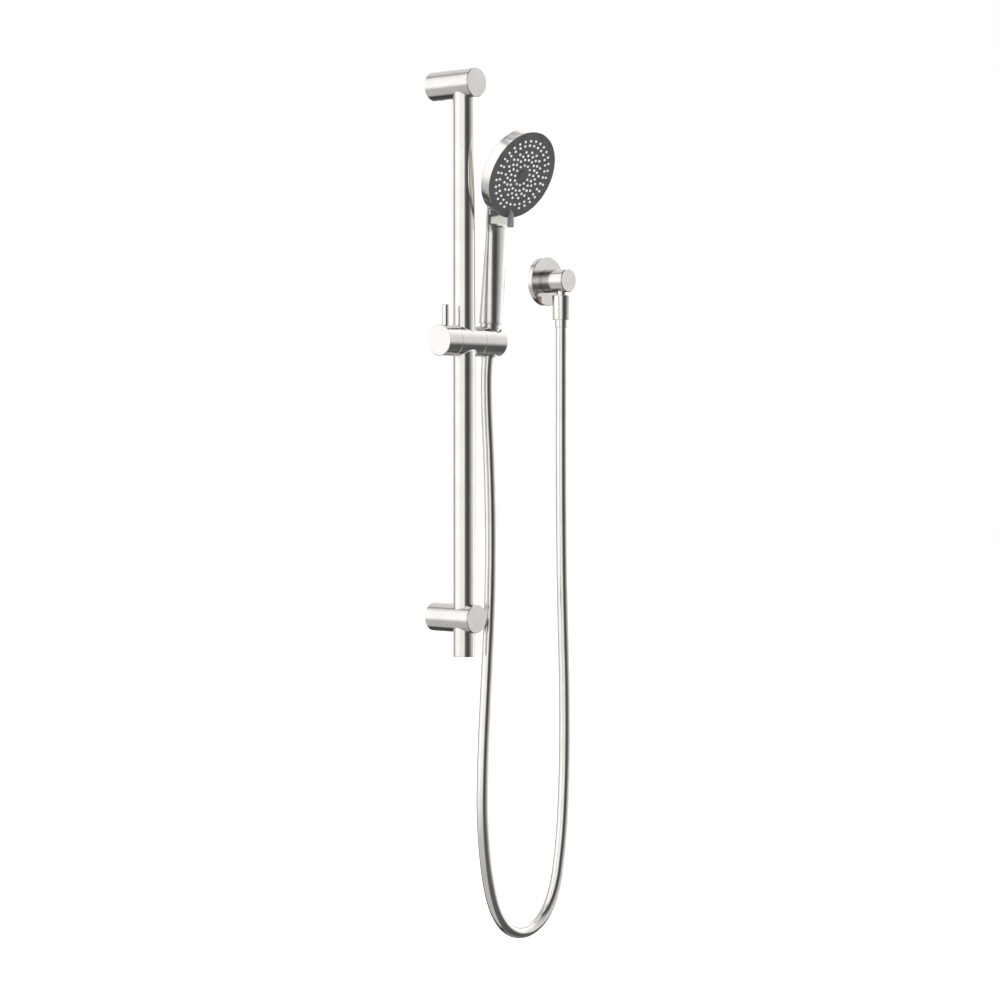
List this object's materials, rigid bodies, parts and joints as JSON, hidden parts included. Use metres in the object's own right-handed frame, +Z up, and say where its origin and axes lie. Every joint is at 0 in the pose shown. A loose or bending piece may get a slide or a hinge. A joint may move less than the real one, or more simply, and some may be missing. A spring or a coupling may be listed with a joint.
{
  "type": "handheld shower set",
  "caption": "Handheld shower on a wall rail with two brackets, a clamping slider with a tilting holder, a handset with a turning spray face, a hose and a wall elbow.",
  "frame": {"origin": "centre of the upper bracket's back face, on the wall, which is also the upper wall screw's hole", "axes": "+Y into the wall, +Z up along the rail, +X to the right as seen from in front of the wall"},
  "size_m": [0.2681, 0.1198, 1.0237],
  "materials": {
    "satin_nickel_metal": "satin brushed nickel",
    "satin_nickel_plastic": "satin brushed nickel plating on moulded plastic",
    "hose_jacket": "smooth satin metal-effect jacket",
    "grey_face": "fine satin, dark grey",
    "milky_silicone": "soft, milky white",
    "white_plastic": "moulded",
    "black_plastic": "moulded",
    "black_rubber": "matt",
    "brass": "turned",
    "dark_steel": "blackened",
    "spring_steel": "bright"
  },
  "bodies": {
    "wall_set": {"upper_bracket": "satin_nickel_metal", "lower_bracket": "satin_nickel_metal", "upper_wall_post": "brass", "lower_wall_post": "brass", "bracket_grub_screws": "dark_steel", "rail_tube": "satin_nickel_metal", "rail_top_plug": "white_plastic", "rail_end_cap": "satin_nickel_metal", "elbow_flange": "satin_nickel_metal", "elbow_flange_seal": "black_rubber", "elbow_body": "satin_nickel_metal", "elbow_nipple": "satin_nickel_metal", "check_valve_seat": "white_plastic", "check_valve_guide": "white_plastic", "check_valve_spring": "spring_steel", "elbow_hose_washer": "black_rubber", "elbow_hose_nut": "satin_nickel_metal", "elbow_hose_ferrule": "satin_nickel_metal", "hose": "hose_jacket"},
    "check_valve": {"check_valve_poppet": "black_rubber"},
    "slider": {"slider_body": "satin_nickel_metal", "rail_bush": "white_plastic", "pivot_washer": "spring_steel", "pivot_screw": "spring_steel"},
    "brake": {"brake_pad": "black_rubber"},
    "lock": {"lock_knob": "satin_nickel_metal", "lock_lever": "satin_nickel_metal", "lock_spindle": "brass"},
    "holder": {"handset_holder": "satin_nickel_metal", "holder_liner": "black_plastic"},
    "hose_end": {"handset_hose_ferrule": "satin_nickel_metal"},
    "handset": {"hose_cone_nut": "satin_nickel_metal", "handset_washer": "black_rubber", "handset_filter": "white_plastic", "handset_shell": "satin_nickel_plastic", "handset_inlet": "brass", "waterway_tube": "white_plastic", "manifold": "white_plastic", "manifold_seal": "black_rubber", "selector_axle": "brass", "detent_spring": "spring_steel", "detent_ball": "spring_steel"},
    "spray": {"spray_plate": "grey_face", "nozzle_mat": "milky_silicone", "selector_tab": "grey_face", "centre_cap": "grey_face"}
  },
  "joints": [
    {"name": "slider_height", "type": "slide", "parent": "wall_set", "child": "slider", "axis": [0, 0, 1], "range_m": [-0.28, 0.25], "deforming": ["hose"]},
    {"name": "lock_turn", "type": "hinge", "parent": "slider", "child": "lock", "pos_m": [-0.0315, -0.047, -0.2963], "axis": [1, 0, 0], "range_deg": [0, 75]},
    {"name": "brake_travel", "type": "slide", "parent": "slider", "child": "brake", "axis": [1, 0, 0], "range_m": [-0.00035, 0]},
    {"name": "holder_tilt", "type": "hinge", "parent": "slider", "child": "holder", "pos_m": [0.038, -0.047, -0.2963], "axis": [1, 0, 0], "range_deg": [-1, 30]},
    {"name": "handset_lift", "type": "slide", "parent": "holder", "child": "hose_end", "axis": [0, -0.0958, 0.9954], "range_m": [0, 0.05]},
    {"name": "handset_turn", "type": "hinge", "parent": "hose_end", "child": "handset", "pos_m": [0.0435, -0.047, -0.2963], "axis": [0, -0.0958, 0.9954], "range_deg": [-10, 90]},
    {"name": "spray_select", "type": "hinge", "parent": "handset", "child": "spray", "pos_m": [0.0435, -0.09792, -0.1055], "axis": [0, -0.91, -0.4147], "range_deg": [-30, 30]},
    {"name": "check_valve_lift", "type": "slide", "parent": "wall_set", "child": "check_valve", "axis": [0, -1, 0], "range_m": [0, 0.003], "stiffness_N_per_m": 60, "springref_m": -0.002, "deforming": ["check_valve_spring"]}
  ],
  "couplings": [
    {"joint": "brake_travel", "follows": "lock_turn", "m_per_rad": -0.000229}
  ]
}
